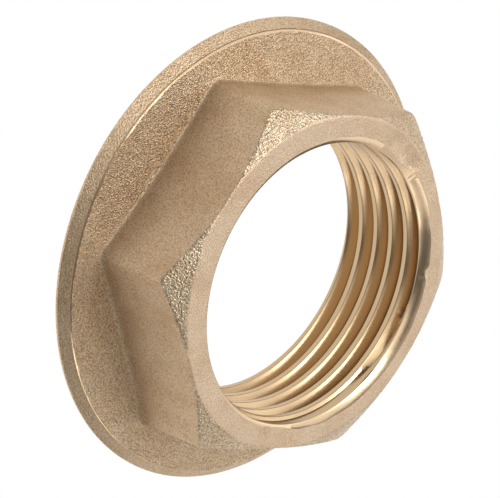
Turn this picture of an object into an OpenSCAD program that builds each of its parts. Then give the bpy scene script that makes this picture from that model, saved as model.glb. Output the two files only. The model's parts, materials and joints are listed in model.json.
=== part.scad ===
// Flanged backnut: a one-piece brass casting with a turned flange and a threaded bore.
// It stands on the flange's bearing face, which is z = 0, and the thread's axis is +Z.
// Lengths are millimetres and angles are degrees.

/* [Bore] */
// Minor diameter of the thread, which is the wall of the bore
thread_minor_d = 24.12; // [15:0.02:40]
// Width of the turned chamfer at the front mouth
mouth_chamfer = 0.6; // [0.3:0.05:1]
// Width of the turned chamfer at the bearing face
back_chamfer = 0.25; // [0.1:0.05:0.8]

/* [Flange] */
// Width of the flange outside the flats, measured at the nut's front face
ledge_w = 5.85; // [4.8:0.05:9]
// Height of the straight edge under the rim's band
rim_edge_h = 0.3; // [0.15:0.05:0.6]
// Width of the rim's turned band, seen from the front
rim_band_w = 0.8; // [0.3:0.05:1.1]
// Height of the rim where the band ends
rim_h = 0.9; // [0.7:0.05:1.6]
// Step from the band up to the flange's cast face
rim_step_h = 0.1; // [0.05:0.05:0.3]
// Slope of the flange's cast face, which falls towards the rim
face_slope = 9; // [2:0.5:14]
// Break on the turned edge of the bearing face
edge_break = 0.1; // [0.05:0.05:0.14]

/* [Hexagon] */
// Height of the nut from its bearing face to its front face
nut_h = 9.5; // [7:0.1:16]
// Thickness of the wall between the bore and a flat, at the front face
wall_t = 2.34; // [1.5:0.02:5]
// Draft of each flat, which leans in towards the front
hex_draft = 3.2; // [0.5:0.1:5]
// How far each corner is rounded back from a sharp hexagon
corner_trim = 0.15; // [0.05:0.05:0.5]
// Radius of the fillet between the hexagon and the flange
foot_r = 0.45; // [0.25:0.05:0.8]
// Angle of the corner chamfer from the front face
chamfer_angle = 32; // [20:1:45]
// How far the chamfer's circle on the front face stands outside the flats
chamfer_clear = 0.15; // [0.05:0.05:0.4]

/* [Hidden] */
$fn = 96;
brass_colour = [0.76, 0.62, 0.42];
foot_steps = 3;
foot_sink = 0.1;
cut_past = 1;

bore_r = thread_minor_d / 2;
flat_r = bore_r + wall_t;
flange_r = flat_r + ledge_w;
face_rim_r = flange_r - rim_band_w;
face_rim_z = rim_h + rim_step_h;
face_r = flat_r + chamfer_clear;
corner_ratio = 1 / cos(30);

// Height of the flange's cast face at a distance from the axis
function face_z(r) = face_rim_z + (face_rim_r - r) * tan(face_slope);

// Distance from the axis to a drafted flat at a height
function flat_x(z) = flat_r + (nut_h - z) * tan(hex_draft);

// The fillet springs from just under the flange's face where a corner meets it
foot_z = face_z(flat_x(face_rim_z) * corner_ratio) - foot_sink;
foot_centre_z = foot_z + foot_r * cos(face_slope);
foot_centre_x = flat_x(foot_centre_z) + foot_r / cos(hex_draft);
foot_start = 180 + hex_draft;
foot_end = 270 - face_slope;

// Half of the hexagon's section across two flats, from the floor to the front face
foot_arc = [
    for (i = [foot_steps : -1 : 0])
        let (a = foot_start + (foot_end - foot_start) * i / foot_steps)
        [foot_centre_x + foot_r * cos(a), foot_centre_z + foot_r * sin(a)]
];
flat_side = concat([[foot_arc[0].x, 0]], foot_arc, [[flat_r, nut_h]]);

// The same line at the corners, trimmed back for their rounding
corner_side = [for (p = flat_side) [p.x * corner_ratio - corner_trim, p.y]];

// A closed outline from a line of points and the axis
function to_axis(points) = concat([[0, 0]], points, [[0, nut_h]]);

// Both sides of a line of points mirrored across the axis
function both_sides(points) = concat(
    points,
    [for (i = [len(points) - 1 : -1 : 0]) [-points[i].x, points[i].y]]
);

// Two opposite flats as one long block, with the fillets at its foot
module flat_pair() {
    rotate([90, 0, 0])
        linear_extrude(height = 2 * flange_r, center = true)
            polygon(both_sides(flat_side));
}

// The drafted hexagon, with its corners rounded about the axis
module hexagon() {
    intersection() {
        flat_pair();
        rotate([0, 0, 60]) flat_pair();
        rotate([0, 0, 120]) flat_pair();
        rotate_extrude() polygon(to_axis(corner_side));
    }
}

// The cone that chamfers the hexagon's corners down from the front face
module front_cone() {
    rotate_extrude()
        polygon([
            [0, 0],
            [flange_r, 0],
            [flange_r, nut_h - (flange_r - face_r) * tan(chamfer_angle)],
            [face_r, nut_h],
            [0, nut_h]
        ]);
}

// The round flange: bearing face, straight edge, turned band, step and sloping cast face
module flange() {
    rotate_extrude()
        polygon([
            [0, 0],
            [flange_r - edge_break, 0],
            [flange_r, edge_break],
            [flange_r, rim_edge_h],
            [face_rim_r, rim_h],
            [face_rim_r, face_rim_z],
            [bore_r, face_z(bore_r)],
            [0, face_z(bore_r)]
        ]);
}

// What the turning tool takes out: the bore and a chamfer at each end
module bore() {
    translate([0, 0, -cut_past])
        cylinder(r = bore_r, h = nut_h + 2 * cut_past);
    translate([0, 0, -cut_past])
        cylinder(r1 = bore_r + back_chamfer + cut_past, r2 = bore_r, h = back_chamfer + cut_past);
    translate([0, 0, nut_h - mouth_chamfer])
        cylinder(r1 = bore_r, r2 = bore_r + mouth_chamfer + cut_past, h = mouth_chamfer + cut_past);
}

module backnut() {
    color(brass_colour)
        difference() {
            union() {
                flange();
                intersection() {
                    hexagon();
                    front_cone();
                }
            }
            bore();
        }
}

backnut();
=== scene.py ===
import json
import math

import bmesh
import bpy
import numpy as np
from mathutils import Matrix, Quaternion, Vector


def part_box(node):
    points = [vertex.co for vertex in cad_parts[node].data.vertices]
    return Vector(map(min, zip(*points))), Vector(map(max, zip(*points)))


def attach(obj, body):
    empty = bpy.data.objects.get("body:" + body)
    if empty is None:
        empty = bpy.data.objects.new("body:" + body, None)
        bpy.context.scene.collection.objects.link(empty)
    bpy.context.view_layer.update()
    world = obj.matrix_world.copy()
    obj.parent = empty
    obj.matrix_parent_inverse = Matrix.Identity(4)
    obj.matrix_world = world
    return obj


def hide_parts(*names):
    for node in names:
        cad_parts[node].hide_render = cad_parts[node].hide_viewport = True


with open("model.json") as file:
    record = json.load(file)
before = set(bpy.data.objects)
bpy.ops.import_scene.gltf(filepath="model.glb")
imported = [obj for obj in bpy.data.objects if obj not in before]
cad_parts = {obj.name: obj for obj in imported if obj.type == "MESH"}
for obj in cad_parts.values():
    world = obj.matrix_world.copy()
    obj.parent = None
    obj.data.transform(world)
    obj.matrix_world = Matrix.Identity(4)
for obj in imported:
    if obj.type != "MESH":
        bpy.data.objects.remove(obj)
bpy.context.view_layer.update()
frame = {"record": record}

# The nut is modelled in millimetres and made metres at the end
MM = 0.001

# Sizes that come from the frame
high_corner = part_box("backnut")[1]
FLANGE_R = high_corner.x / MM
NUT_H = high_corner.z / MM
thread_mount = next(m for m in frame["record"]["mounts"] if m["name"] == "thread")
BORE_R = thread_mount["dims"]["r_mm"]

# Hexagon of the casting: its wall at the front face, the draft of its flats, its soft
# corners, and the cone that chamfers them from a circle just inside the flats
WALL_T = 2.34
HEX_DRAFT = math.radians(3.2)
CORNER_BEVEL = 0.56
CORNER_STEPS = 4
CHAMFER_ANGLE = math.radians(32)
CHAMFER_INSET = 0.05
FACE_R = BORE_R + WALL_T - CHAMFER_INSET
HEX_CORNER = 1 / math.cos(math.radians(30))

# Flange of the casting, with metal to spare at its rim and its back
FACE_SLOPE = math.radians(9)
CAST_SPARE = 0.6

# What the turning tool leaves of the rim, and the fine cut inside its band
RIM_BAND_W = 0.8
RIM_EDGE_H = 0.3
RIM_H = 0.9
RIM_STEP_H = 0.1
BAND_R = FLANGE_R - RIM_BAND_W
EDGE_BREAK = 0.1
LIP_STEP = 0.05
LIP_SLOPE = math.radians(28)
LIP_SHIFT = Vector((-0.014, -0.079, 0))

# Pipe thread: 55 degree form with a round root, its crests bored flat with broken edges,
# left hand as photographed
PITCH = 1.814
THREAD_DEPTH = 1.0
FLANK_ANGLE = math.radians(27.5)
ROOT_ROUND = 0.249
ROOT_POINTS = 7
CREST_ROUND = 0.07
CREST_POINTS = 3
TURNS = 6
TURN_STEPS = 180

# The last groove runs out under the front mouth: the azimuth where it ends, the height of
# its crest there, and its depth on the land. In steps back from its end, TURN_STEPS to a
# turn, it has that depth from END_STEPS to FADED_STEPS, and its full depth from FULL_STEPS
RUNOUT_AZ = math.radians(-275)
RUNOUT_CREST = 8.689
LAND_DEPTH = 0.30
END_STEPS = 50
FADED_STEPS = 92
FULL_STEPS = 122

# The tap's plain core stays this far inside the crests
CORE_CLEAR = 0.02

# Plain land between the thread and the front mouth
LAND_R = 12.18
LAND_SHIFT = Vector((-0.03, -0.17, 0))
LAND_FOOT = 8.45

# Chamfers of the two mouths, the front one turned off the nut's axis; slopes are taken
# from the face
MOUTH_R = 12.72
MOUTH_SLOPE = math.radians(30)
MOUTH_SHIFT = Vector((0.28, -0.28, 0))
BACK_CHAMFER = 0.25
BACK_SLOPE = math.radians(45)

# How far a cutter reaches past what it cuts, and the radius that clears the casting
CUT_PAST = 1.0
CLEAR_R = FLANGE_R + 2 * CAST_SPARE

# Fineness of the meshes: sides of what is round, cells of the cast skin, the distance at
# which vertices merge, and the angle under which faces are shaded as one
ROUND_STEPS = 192
VOXEL = 0.152
MERGE_DISTANCE = 0.0005
SMOOTH_ANGLE = math.radians(32)

# A face looks up when its normal's height is more than this
LOOKS_UP = 0.9


def face_height(radius):
    """Height of the flange's cast face at a distance from the axis."""
    return RIM_H + RIM_STEP_H + (BAND_R - radius) * math.tan(FACE_SLOPE)


def flat_distance(height):
    """Distance from the axis to a drafted flat at a height."""
    return BORE_R + WALL_T + (NUT_H - height) * math.tan(HEX_DRAFT)


# Modelling steps

def deselect():
    """Leaves edit mode and selects nothing."""
    if bpy.context.object and bpy.context.object.mode != "OBJECT":
        bpy.ops.object.mode_set(mode="OBJECT")
    bpy.ops.object.select_all(action="DESELECT")


def take_up(piece):
    """Makes piece the only selected object."""
    deselect()
    piece.select_set(True)
    bpy.context.view_layer.objects.active = piece


def named(name):
    """Names the object that an operator has just added."""
    piece = bpy.context.object
    piece.name = name
    piece.data.name = name
    return piece


def settled(name):
    """Names the object that has just been added, and moves its place into its mesh."""
    piece = named(name)
    take_up(piece)
    bpy.ops.object.transform_apply(location=True)
    return piece


def edit(piece):
    """Opens a piece in edit mode."""
    take_up(piece)
    bpy.ops.object.mode_set(mode="EDIT")


def done():
    """Closes edit mode."""
    bpy.ops.object.mode_set(mode="OBJECT")


def choose(piece, kind, wanted):
    """Selects the faces or edges of a piece in edit mode for which wanted is true."""
    bpy.ops.mesh.select_mode(type=kind)
    bpy.ops.mesh.select_all(action="DESELECT")
    mesh = bmesh.from_edit_mesh(piece.data)
    for part in mesh.faces if kind == "FACE" else mesh.edges:
        part.select_set(wanted(part))
    bmesh.update_edit_mesh(piece.data)


def choose_top(piece):
    """Selects the faces of a piece in edit mode that look up."""
    choose(piece, "FACE", lambda face: face.normal.z > LOOKS_UP)


def narrow(share, height):
    """Scales what is selected at a height, towards the axis."""
    bpy.ops.transform.resize(value=(share, share, 1), center_override=(0, 0, height))


def modify(piece, kind, **settings):
    """Adds a modifier with its settings and applies it."""
    take_up(piece)
    modifier = piece.modifiers.new(kind.title(), kind)
    for key, value in settings.items():
        setattr(modifier, key, value)
    bpy.ops.object.modifier_apply(modifier=modifier.name)


def combine(piece, other, operation, **settings):
    """Joins, cuts or crosses a piece with another, which is used up."""
    modify(piece, "BOOLEAN", object=other, operation=operation, **settings)
    bpy.data.objects.remove(other)


def tidy_shell(piece):
    """Merges doubles, then turns every face outwards."""
    edit(piece)
    bpy.ops.mesh.select_all(action="SELECT")
    bpy.ops.mesh.remove_doubles(threshold=MERGE_DISTANCE)
    bpy.ops.mesh.normals_make_consistent(inside=False)
    if bmesh.from_edit_mesh(piece.data).calc_volume(signed=True) < 0:
        bpy.ops.mesh.flip_normals()
    done()


def cylinder(name, radius, low, high, sides=ROUND_STEPS):
    """A bar on the axis between two heights."""
    deselect()
    bpy.ops.mesh.primitive_cylinder_add(
        vertices=sides,
        radius=radius,
        depth=high - low,
        location=(0, 0, (low + high) / 2),
    )
    return settled(name)


def cone(name, low_r, high_r, low, high):
    """A cone on the axis between two heights, with a radius at each."""
    deselect()
    bpy.ops.mesh.primitive_cone_add(
        vertices=ROUND_STEPS,
        radius1=low_r,
        radius2=high_r,
        depth=high - low,
        location=(0, 0, (low + high) / 2),
    )
    return settled(name)


def drawn_line(name, points):
    """A line drawn from point to point, each a distance from the axis and a height."""
    deselect()
    bpy.ops.mesh.primitive_plane_add(size=1)
    piece = named(name)
    edit(piece)
    bpy.ops.mesh.select_mode(type="VERT")
    bpy.ops.mesh.select_all(action="SELECT")
    bpy.ops.mesh.merge(type="CENTER")
    bpy.ops.transform.translate(value=(points[0][0], 0, points[0][1]))
    for (r1, z1), (r2, z2) in zip(points, points[1:]):
        bpy.ops.mesh.extrude_vertices_move(
            TRANSFORM_OT_translate={"value": (r2 - r1, 0, z2 - z1)}
        )
    done()
    return piece


def turned(name, points):
    """A closed outline spun once about the thread's axis."""
    piece = drawn_line(name, points + points[:1])
    edit(piece)
    bpy.ops.mesh.select_all(action="SELECT")
    bpy.ops.mesh.remove_doubles(threshold=MERGE_DISTANCE)
    bpy.ops.mesh.select_all(action="SELECT")
    bpy.ops.mesh.spin(
        steps=ROUND_STEPS, angle=2 * math.pi, center=(0, 0, 0), axis=(0, 0, 1)
    )
    done()
    tidy_shell(piece)
    return piece


def shifted(piece, drift):
    """Moves a piece's mesh, such as a cutter off the axis."""
    edit(piece)
    bpy.ops.mesh.select_all(action="SELECT")
    bpy.ops.transform.translate(value=drift)
    done()
    return piece


def places(piece):
    """The places of a piece's vertices, one row for each."""
    spots = np.empty(len(piece.data.vertices) * 3, np.float32)
    piece.data.vertices.foreach_get("co", spots)
    return spots.reshape(-1, 3).astype(float)


def move_to(piece, spots):
    """Moves a piece's vertices to new places."""
    piece.data.vertices.foreach_set("co", spots.astype(np.float32).ravel())
    piece.data.update()


def axis_distance(spots):
    """How far each spot is from the thread's axis."""
    return np.hypot(spots[:, 0], spots[:, 1])


# Finishes

# Tones of the cast skins, each from its darker to its lighter blotches; the paler, less
# saturated beige and pale skins of the front face and the facets are partly painted
# highlight, standing in for the brighter light on those faces
BROWN_SKIN = [
    (0.35, (0.64, 0.45, 0.28)),
    (0.50, (0.68, 0.50, 0.32)),
    (0.65, (0.71, 0.53, 0.35)),
]
BEIGE_SKIN = [
    (0.35, (0.69, 0.50, 0.34)),
    (0.50, (0.73, 0.55, 0.38)),
    (0.65, (0.75, 0.58, 0.41)),
]
PALE_SKIN = [
    (0.35, (0.67, 0.50, 0.33)),
    (0.50, (0.72, 0.55, 0.37)),
    (0.65, (0.76, 0.60, 0.42)),
]
BLOTCHES_PER_MM = 0.35

# Pits between the grains: how many to a grain, and their share of the relief
PITS_PER_GRAIN = 1.2
PIT_SHARE = 0.35

# Rings that the turning tool leaves
RINGS_PER_MM = 9.0

# A Mix node's sockets share their names, so they go by number: factor, both inputs and
# the result
MIX_SOCKETS = {"FLOAT": (0, 2, 3, 0), "RGBA": (0, 6, 7, 2)}


def add_node(tree, kind, **inputs):
    """A node with values or links for its inputs; spaces in their names are underscores."""
    node = tree.nodes.new(kind)
    for key, value in inputs.items():
        socket = node.inputs[key.replace("_", " ")]
        if isinstance(value, bpy.types.NodeSocket):
            tree.links.new(value, socket)
        else:
            socket.default_value = value
    return node


def brass(name, roughness):
    """A metallic material, its node tree and its shader."""
    material = bpy.data.materials.new(name)
    material.use_nodes = True
    tree = material.node_tree
    shader = tree.nodes["Principled BSDF"]
    shader.inputs["Metallic"].default_value = 1.0
    shader.inputs["Roughness"].default_value = roughness
    return material, tree, shader


def millimetres(tree):
    """Object coordinates in millimetres."""
    coordinates = tree.nodes.new("ShaderNodeTexCoord")
    mapping = add_node(
        tree, "ShaderNodeMapping", Vector=coordinates.outputs["Object"], Scale=(1 / MM,) * 3
    )
    return mapping.outputs["Vector"]


def noise(tree, place, scale, detail, roughness):
    """Noise, its scale in spots to a millimetre."""
    node = add_node(
        tree,
        "ShaderNodeTexNoise",
        Vector=place,
        Scale=scale,
        Detail=detail,
        Roughness=roughness,
    )
    return node.outputs["Fac"]


def ramp(tree, value, stops):
    """A colour ramp through stops of (position, colour)."""
    node = add_node(tree, "ShaderNodeValToRGB", Fac=value)
    band = node.color_ramp
    while len(band.elements) < len(stops):
        band.elements.new(0.5)
    for element, (position, colour) in zip(band.elements, stops):
        element.position = position
        element.color = (*colour, 1)
    return node.outputs["Color"]


def mix(tree, kind, blend, share, first, second):
    """Two numbers or two colours blended into one."""
    factor, low, high, result = MIX_SOCKETS[kind]
    node = tree.nodes.new("ShaderNodeMix")
    node.data_type = kind
    node.blend_type = blend
    node.inputs[factor].default_value = share
    tree.links.new(first, node.inputs[low])
    tree.links.new(second, node.inputs[high])
    return node.outputs[result]


def add_bumps(tree, shader, height, relief):
    """Gives a shader the bumps of a height pattern, with their relief in metres."""
    bump = add_node(tree, "ShaderNodeBump", Height=height, Strength=1.0, Distance=relief)
    tree.links.new(bump.outputs["Normal"], shader.inputs["Normal"])


def grain_shade_and_glints(contrast):
    """Painted shade in the gaps between the grains and painted highlight on their tops."""
    dark = 1 - contrast
    bright = 1 + contrast / 2
    return [
        (0.38, (dark, dark, dark)),
        (0.50, (1, 1, 1)),
        (0.60, (bright, bright, bright)),
    ]


def sand_cast(name, tones, grain, relief, roughness, contrast):
    """Cast skin: grains in a millimetre, their relief in metres and the contrast of the
    painted shade and highlight on them.
    """
    material, tree, shader = brass(name, roughness)
    place = millimetres(tree)
    sand = noise(tree, place, scale=grain, detail=1.5, roughness=0.55)
    pits = add_node(tree, "ShaderNodeTexVoronoi", Vector=place, Scale=grain * PITS_PER_GRAIN)
    height = mix(tree, "FLOAT", "MIX", PIT_SHARE, sand, pits.outputs["Distance"])
    blotch = noise(tree, place, scale=BLOTCHES_PER_MM, detail=3.0, roughness=0.6)
    tone = ramp(tree, blotch, tones)
    # Painted shade in the gaps between the grains and painted highlight on their tops, from
    # the sand pattern that also shapes the bumps
    shade = ramp(tree, sand, grain_shade_and_glints(contrast))
    colour = mix(tree, "RGBA", "MULTIPLY", 1.0, tone, shade)
    tree.links.new(colour, shader.inputs["Base Color"])
    add_bumps(tree, shader, height, relief)
    return material


def machined(name, roughness, colour, relief):
    """Turned brass with fine rings about the axis, their relief in metres."""
    material, tree, shader = brass(name, roughness)
    shader.inputs["Base Color"].default_value = (*colour, 1)
    parts = add_node(tree, "ShaderNodeSeparateXYZ", Vector=millimetres(tree))
    flat = add_node(tree, "ShaderNodeCombineXYZ", X=parts.outputs["X"], Y=parts.outputs["Y"])
    radius = tree.nodes.new("ShaderNodeVectorMath")
    radius.operation = "LENGTH"
    tree.links.new(flat.outputs["Vector"], radius.inputs[0])
    ringed = add_node(
        tree, "ShaderNodeCombineXYZ", X=radius.outputs["Value"], Y=parts.outputs["Z"]
    )
    place = ringed.outputs["Vector"]
    rings = noise(tree, place, scale=RINGS_PER_MM, detail=2.0, roughness=0.6)
    add_bumps(tree, shader, rings, relief)
    return material


# Cast skins have their grain, relief, roughness and the contrast of the painted shade and
# highlight on their grains, and the two turned finishes their roughness, colour and relief
FINISHES = {
    "flange": sand_cast("sand_cast_flange", BROWN_SKIN, 7.4, 0.00014, 0.42, 0.36),
    # The paler facet and front skins are partly painted highlight
    "facet": sand_cast("sand_cast_facet", PALE_SKIN, 5.6, 0.00013, 0.38, 0.30),
    "front": sand_cast("sand_cast_front", BEIGE_SKIN, 7.8, 0.00005, 0.46, 0.20),
    "flats": sand_cast("sand_cast_flat", BROWN_SKIN, 7.8, 0.00005, 0.58, 0.25),
    "rim": sand_cast("fine_cast_rim", BROWN_SKIN, 6.8, 0.00005, 0.44, 0.24),
    "turned": machined("turned_brass", 0.20, (0.68, 0.50, 0.32), 0.000002),
    # The tapped brass's colour, darker than the turned brass's, is painted shade of the bore
    "tapped": machined("tapped_brass", 0.25, (0.60, 0.43, 0.255), 0.000001),
}


def coat(piece, finish):
    """Gives a piece one finish all over."""
    piece.data.materials.clear()
    piece.data.materials.append(FINISHES[finish])


# The casting

def rises(edge):
    """Whether an edge runs up one of the hexagon's corners."""
    return abs(edge.verts[0].co.z - edge.verts[1].co.z) > NUT_H / 2


def hexagon():
    """The drafted hexagon with rounded corners, chamfered round its front face."""
    piece = cylinder("hexagon", flat_distance(0) * HEX_CORNER, 0, NUT_H, sides=6)
    edit(piece)
    choose_top(piece)
    narrow(flat_distance(NUT_H) / flat_distance(0), NUT_H)
    choose(piece, "EDGE", rises)
    bpy.ops.mesh.bevel(offset=CORNER_BEVEL, segments=CORNER_STEPS, affect="EDGES")
    done()
    cone_foot_r = FACE_R + NUT_H / math.tan(CHAMFER_ANGLE)
    front_cone = cone("front_cone", cone_foot_r, FACE_R, 0, NUT_H)
    combine(piece, front_cone, "INTERSECT", solver="EXACT")
    return piece


def flange_blank():
    """The flange as it leaves the mould, with metal to spare at the rim and the back."""
    radius = FLANGE_R + CAST_SPARE
    rim_top = face_height(radius)
    inner = BORE_R - CUT_PAST
    rise = face_height(inner) - rim_top
    piece = cylinder("flange_blank", radius, -CAST_SPARE, rim_top)
    edit(piece)
    choose_top(piece)
    bpy.ops.mesh.extrude_region_move(TRANSFORM_OT_translate={"value": (0, 0, rise)})
    narrow(inner / radius, rim_top + rise)
    done()
    return piece


casting = flange_blank()
casting.name = "nut_casting"
combine(casting, hexagon(), "UNION", solver="EXACT")
modify(casting, "REMESH", mode="VOXEL", voxel_size=VOXEL)


# Zones of the cast skin

CAST_ZONES = ("flats", "flange", "facet", "front")

# How near the skin of a zone lies to the zone's own surface, and how far from the flats
# the flange's skin begins
ZONE_REACH = 0.1
FLAT_REACH = 0.15
FLANGE_CLEAR = 0.2

# The fillet at the hexagon's foot: its reach, and the rounds of smoothing that make it
FOOT_REACH = 0.36
FOOT_ROUNDS = 12
FOOT_FACTOR = 0.5

# Vertices with less weight than this stay out of a group
LEAST_WEIGHT = 0.01


def group_weights(piece, name, weights):
    """A vertex group from one weight for each vertex."""
    group = piece.vertex_groups.new(name=name)
    for index in np.flatnonzero(weights > LEAST_WEIGHT):
        group.add([int(index)], float(weights[index]), "REPLACE")


def hexagon_distance(spots):
    """How far each spot is outside the nearest flat's plane, below zero inside."""
    turns = np.radians(np.arange(0, 360, 60))
    across = spots[:, :1] * np.cos(turns) + spots[:, 1:2] * np.sin(turns)
    return across.max(axis=1) - flat_distance(spots[:, 2])


def zones(piece):
    """Weights of the skin's four zones and of the foot of the hexagon."""
    spots = places(piece)
    radius = axis_distance(spots)
    height = spots[:, 2]
    above_flange = height - face_height(radius)
    above_cone = height - (NUT_H - (radius - FACE_R) * math.tan(CHAMFER_ANGLE))
    outside = hexagon_distance(spots)
    edge_r = FACE_R + ZONE_REACH
    found = {
        "front": (height > NUT_H - ZONE_REACH) & (radius < edge_r),
        "facet": (np.abs(above_cone) < ZONE_REACH) & (radius > edge_r),
        "flange": (np.abs(above_flange) < ZONE_REACH) & (outside > FLANGE_CLEAR),
    }
    taken = found["front"] | found["facet"] | found["flange"]
    found["flats"] = (np.abs(outside) < FLAT_REACH) & ~taken
    found["foot"] = np.hypot(above_flange, outside) < FOOT_REACH
    return {name: mask.astype(float) for name, mask in found.items()}


def dress_zones(piece, zone_weights):
    """Gives each face the finish of the zone that most of its corners lie in."""
    piece.data.materials.clear()
    for zone in CAST_ZONES:
        piece.data.materials.append(FINISHES[zone])
    for polygon in piece.data.polygons:
        vertices = list(polygon.vertices)
        shares = [zone_weights[zone][vertices].sum() for zone in CAST_ZONES]
        polygon.material_index = int(np.argmax(shares))


skin = zones(casting)
for zone, weights in skin.items():
    group_weights(casting, zone, weights)
dress_zones(casting, skin)
modify(
    casting, "SMOOTH", factor=FOOT_FACTOR, iterations=FOOT_ROUNDS, vertex_group="foot"
)


# Grain, waves and low spots of the cast skin

# Clouds that push the skin in and out: zone, size and strength
SKIN_CLOUDS = {
    "flange_sand": ("flange", 0.30, 0.035),
    "flange_waves": ("flange", 2.6, 0.07),
    "facet_sand": ("facet", 0.32, 0.045),
    "flat_sand": ("flats", 0.3, 0.03),
    "flat_waves": ("flats", 3.0, 0.05),
    "front_waves": ("front", 2.2, 0.07),
}
PORE_CLOUD = ("pores", 0.36, 0.12)

# Low spots of the cast face at the mouth: azimuth in degrees, radius, depth and spread
LOW_SPOTS = (
    (36, 13.4, 0.30, 0.9),
    (29, 13.2, 0.34, 1.0),
    (22, 13.0, 0.28, 0.7),
    (-27, 12.9, 0.15, 0.45),
    (-124, 13.0, 0.16, 1.8),
)

# How far under the front face the low spots fade to nothing
LOW_SPOT_REACH = 2.5

# Porous patch: the azimuth in degrees and the radius of its middle, each with how far
# from it the pores are full and where they end, and its depth under the front face
PORES_AZ = 27
PORES_ALONG = (4.5, 13.5)
PORES_R = 13.1
PORES_ACROSS = (0.8, 1.6)
PORES_REACH = 1.5


def roughen(piece, name, zone, size, strength):
    """Pushes a zone in and out by a cloud of a size and a strength in millimetres."""
    texture = bpy.data.textures.new(name, "CLOUDS")
    texture.noise_scale = size
    texture.noise_depth = 1
    modify(
        piece,
        "DISPLACE",
        texture=texture,
        texture_coords="LOCAL",
        direction="NORMAL",
        mid_level=0.5,
        strength=strength,
        vertex_group=zone,
    )


def fade(distance, full, none):
    """One as far as full, then less and less, and zero from none on."""
    return np.clip((none - distance) / (none - full), 0, 1)


def sink_low_spots(piece):
    """Lowers the front face round the middle of each low spot."""
    spots = places(piece)
    for azimuth, radius, depth, spread in LOW_SPOTS:
        turn = math.radians(azimuth)
        away = np.hypot(
            spots[:, 0] - radius * math.cos(turn), spots[:, 1] - radius * math.sin(turn)
        )
        top = fade(NUT_H - spots[:, 2], 0, LOW_SPOT_REACH)
        spots[:, 2] -= depth * np.exp(-((away / spread) ** 2)) * top
    move_to(piece, spots)


def pore_weights(piece):
    """Weights of the porous patch of the front face."""
    spots = places(piece)
    azimuth = np.degrees(np.arctan2(spots[:, 1], spots[:, 0]))
    along = fade(np.abs(azimuth - PORES_AZ), *PORES_ALONG)
    across = fade(np.abs(axis_distance(spots) - PORES_R), *PORES_ACROSS)
    return along * across * (spots[:, 2] > NUT_H - PORES_REACH)


for name, cloud in SKIN_CLOUDS.items():
    roughen(casting, name, *cloud)
sink_low_spots(casting)
group_weights(casting, "pores", pore_weights(casting))
roughen(casting, "pores", *PORE_CLOUD)


# What the lathe and the tap take off

def facing_cut():
    """Everything under the bearing face."""
    size = 2 * CLEAR_R
    deselect()
    bpy.ops.mesh.primitive_cube_add(size=size, location=(0, 0, -size / 2))
    return settled("facing_cut")


def rim_cut():
    """Everything outside the rim's edge and its band, down to a small step."""
    return turned(
        "rim_cut",
        [
            (FLANGE_R - EDGE_BREAK - CUT_PAST, -CUT_PAST),
            (FLANGE_R - EDGE_BREAK, 0),
            (FLANGE_R, EDGE_BREAK),
            (FLANGE_R, RIM_EDGE_H),
            (BAND_R, RIM_H),
            (BAND_R, RIM_H + CUT_PAST),
            (CLEAR_R, RIM_H + CUT_PAST),
            (CLEAR_R, -CUT_PAST),
        ],
    )


def lip_cut():
    """The tool's clean cut along the edge of the flange's cast face, above the step."""
    foot = RIM_H + LIP_STEP
    top = foot + CUT_PAST * math.tan(LIP_SLOPE)
    return turned(
        "lip_cut",
        [
            (BAND_R, foot),
            (BAND_R + CUT_PAST, foot),
            (BAND_R + CUT_PAST, top),
            (BAND_R - CUT_PAST, top),
        ],
    )


def mouth_cut(name, edge_r, height, slope):
    """A countersink whose edge has radius edge_r at a height; a negative slope faces down."""
    spread = CUT_PAST / math.tan(slope)
    return cone(name, edge_r - spread, edge_r + spread, height - CUT_PAST, height + CUT_PAST)


def mouth_land():
    """A plain bore from the last turn of the thread to the front."""
    return cylinder("mouth_land", LAND_R, LAND_FOOT, NUT_H + CUT_PAST)


def thread_outline():
    """One pitch of the tap's side, from crest to crest of the nut's thread."""
    half = PITCH / 2
    root_centre = BORE_R + THREAD_DEPTH - ROOT_ROUND
    swing = math.pi / 2 - FLANK_ANGLE
    root = [
        (root_centre + ROOT_ROUND * math.cos(a), half + ROOT_ROUND * math.sin(a))
        for a in np.linspace(-swing, swing, ROOT_POINTS)
    ]
    flank_r, flank_z = root[0]
    crest_z = flank_z - (flank_r - BORE_R) * math.tan(FLANK_ANGLE)
    turn_z = crest_z - CREST_ROUND * math.tan(swing / 2)
    turn = [
        (BORE_R + CREST_ROUND * (1 - math.cos(a)), turn_z + CREST_ROUND * math.sin(a))
        for a in np.linspace(0, swing, CREST_POINTS + 1)[1:]
    ]
    low_flank = (BORE_R + LAND_DEPTH, crest_z + LAND_DEPTH * math.tan(FLANK_ANGLE))
    side = [(BORE_R, 0), (BORE_R, turn_z)] + turn + [low_flank]
    back = [(r, PITCH - z) for r, z in reversed(side)]
    return side + root + back


def fade_out(piece, ring_size):
    """Turns the last rings of a screw's ridge down, more and more to the end."""
    spots = places(piece)
    ring = np.arange(len(spots)) // ring_size
    left = ring.max() - ring
    share = np.clip((left - FADED_STEPS) / (FULL_STEPS - FADED_STEPS), 0, 1)
    depth = LAND_DEPTH + (THREAD_DEPTH - LAND_DEPTH) * share**2 * (3 - 2 * share)
    depth *= np.clip(left / END_STEPS, 0, 1)
    radius = axis_distance(spots)
    turned_down = np.minimum(radius, BORE_R + depth)
    spots[:, :2] *= (turned_down / radius)[:, None]
    move_to(piece, spots)


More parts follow.
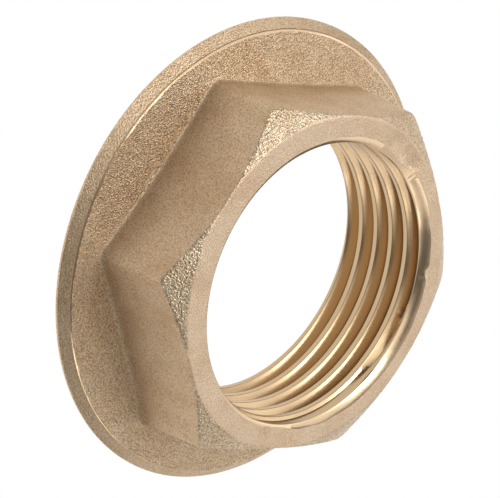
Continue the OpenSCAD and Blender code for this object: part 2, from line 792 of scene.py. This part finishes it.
def ridge():
    """The tap's threaded side, closed at both ends."""
    start = RUNOUT_CREST - TURNS * PITCH
    outline = [(r, z + start) for r, z in thread_outline()]
    piece = drawn_line("tap", outline)
    modify(
        piece,
        "SCREW",
        axis="Z",
        angle=-2 * math.pi,
        screw_offset=PITCH,
        iterations=TURNS,
        steps=TURN_STEPS,
        render_steps=TURN_STEPS,
    )
    fade_out(piece, len(outline))
    tidy_shell(piece)
    edit(piece)
    choose(piece, "EDGE", lambda edge: edge.is_boundary)
    bpy.ops.mesh.edge_face_add()
    done()
    tidy_shell(piece)
    piece.rotation_euler = (0, 0, RUNOUT_AZ)
    bpy.ops.object.transform_apply(rotation=True)
    return piece


def tap():
    """The threaded rod that cuts the bore, with a plain core that is longer than the nut."""
    piece = ridge()
    core = cylinder(
        "tap_core", BORE_R - CORE_CLEAR, -CUT_PAST, NUT_H + CUT_PAST, sides=TURN_STEPS
    )
    combine(piece, core, "UNION", solver="MANIFOLD")
    return piece


# The finish that each cutter leaves is turned brass, unless it is named here
CUT_FINISH = {"rim_cut": "rim", "tap": "tapped", "mouth_land": "tapped"}

cutters = [
    facing_cut(),
    rim_cut(),
    shifted(lip_cut(), LIP_SHIFT),
    shifted(mouth_cut("front_mouth", MOUTH_R, NUT_H, MOUTH_SLOPE), MOUTH_SHIFT),
    mouth_cut("back_mouth", BORE_R + BACK_CHAMFER, 0, -BACK_SLOPE),
    tap(),
    shifted(mouth_land(), LAND_SHIFT),
]
for cutter in cutters:
    coat(cutter, CUT_FINISH.get(cutter.name, "turned"))
    combine(
        casting, cutter, "DIFFERENCE", solver="MANIFOLD", material_mode="TRANSFER"
    )

take_up(casting)
bpy.ops.object.shade_smooth_by_angle(angle=SMOOTH_ANGLE)
casting.scale = (MM, MM, MM)
bpy.ops.object.transform_apply(scale=True)

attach(casting, "root")
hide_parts("backnut")


# Camera

CAMERA_AZ = math.radians(132.90)
CAMERA_EL = math.radians(42.66)
CAMERA_ROLL = math.radians(114.04)
CAMERA_DISTANCE = 279.35
CAMERA_AIM = Vector((0.52, -0.10, 0.46))
FILM_W = 36.0
LENS = 238.84


def direction(azimuth, elevation):
    """Unit vector towards an azimuth and an elevation in radians."""
    return Vector(
        (
            math.cos(elevation) * math.cos(azimuth),
            math.cos(elevation) * math.sin(azimuth),
            math.sin(elevation),
        )
    )


def set_camera():
    """The camera that the photo's outlines fit, rolled as the photo is."""
    back = direction(CAMERA_AZ, CAMERA_EL)
    roll = Quaternion((0, 0, 1), CAMERA_ROLL)
    deselect()
    bpy.ops.object.camera_add(location=(CAMERA_AIM + back * CAMERA_DISTANCE) * MM)
    camera = bpy.context.object
    camera.rotation_mode = "QUATERNION"
    camera.rotation_quaternion = back.to_track_quat("Z", "Y") @ roll
    camera.data.sensor_fit = "HORIZONTAL"
    camera.data.sensor_width = FILM_W
    camera.data.lens = LENS
    camera.data.clip_start = 0.01
    camera.data.clip_end = 20
    bpy.context.scene.camera = camera


set_camera()


# Studio, in metres

LIGHT_DISTANCE = 0.6

# The light tent: elevation of a row in degrees, panels in its full round, their height,
# and radiance by azimuth in degrees
TENT = (
    (8, 12, 0.215, {60: 0.71, 270: 0.59, 330: 0.49}),
    (28, 12, 0.215, {0: 1.39, 30: 1.08, 270: 0.73, 300: 1.17, 330: 1.16}),
    (33, 24, 0.105, {255: 0.73}),
    (43, 24, 0.105, {255: 1.84, 270: 0.52}),
    (47, 12, 0.215, {0: 1.06, 30: 1.34, 90: 1.03, 210: 0.6, 300: 0.91}),
    (53, 24, 0.105, {45: 1.42, 240: 3.14, 255: 0.87, 270: 0.75, 285: 1.37}),
    (63, 24, 0.105, {0: 1.52, 60: 1.2, 225: 0.74}),
    (64, 8, 0.215, {90: 1.51, 135: 0.4, 315: 0.44}),
    (73, 24, 0.105, {0: 2.0, 60: 2.0}),
    (81, 5, 0.215, {72: 0.83, 144: 0.61}),
)

# The key lamp, small and strong
KEY = {"azimuth": 34, "elevation": 67, "width": 0.155, "height": 0.215, "radiance": 6.7}

WORLD_LEVEL = 0.12

# The floor lies a hair under the bearing face, so that the two never share a plane
FLOOR_SIZE = 4
FLOOR_DROP = 0.00002


def softbox(name, azimuth, elevation, width, height, radiance):
    """A rectangular lamp of an even radiance that faces the nut."""
    towards = direction(math.radians(azimuth), math.radians(elevation))
    deselect()
    bpy.ops.object.light_add(type="AREA", location=towards * LIGHT_DISTANCE)
    lamp = named(name)
    lamp.rotation_mode = "QUATERNION"
    lamp.rotation_quaternion = towards.to_track_quat("Z", "Y")
    lamp.data.shape = "RECTANGLE"
    lamp.data.size = width
    lamp.data.size_y = height
    lamp.data.energy = radiance * math.pi * width * height


def light_studio():
    """The panels of the tent and the key lamp."""
    for elevation, count, height, panels in TENT:
        round_r = LIGHT_DISTANCE * math.cos(math.radians(elevation))
        width = 2 * round_r * math.tan(math.pi / count)
        for azimuth, radiance in panels.items():
            name = f"panel_{elevation}_{azimuth}"
            softbox(name, azimuth, elevation, width, height, radiance)
    softbox("key", **KEY)


def lay_floor():
    """A floor that shows white and throws no reflection of its own."""
    deselect()
    bpy.ops.mesh.primitive_plane_add(size=FLOOR_SIZE, location=(0, 0, 0))
    floor = named("studio_floor")
    shifted(floor, (0, 0, -FLOOR_DROP))
    material = bpy.data.materials.new("floor_white")
    material.use_nodes = True
    shader = material.node_tree.nodes["Principled BSDF"]
    shader.inputs["Base Color"].default_value = (0, 0, 0, 1)
    shader.inputs["Roughness"].default_value = 1.0
    shader.inputs["Specular IOR Level"].default_value = 0.0
    shader.inputs["Emission Color"].default_value = (1, 1, 1, 1)
    shader.inputs["Emission Strength"].default_value = 1.0
    floor.data.materials.append(material)


def set_world():
    """A dim, even world and plain colours."""
    world = bpy.data.worlds.new("studio_world")
    world.use_nodes = True
    background = world.node_tree.nodes["Background"]
    background.inputs["Color"].default_value = (1, 1, 1, 1)
    background.inputs["Strength"].default_value = WORLD_LEVEL
    bpy.context.scene.world = world
    bpy.context.scene.view_settings.view_transform = "Standard"


light_studio()
lay_floor()
set_world()
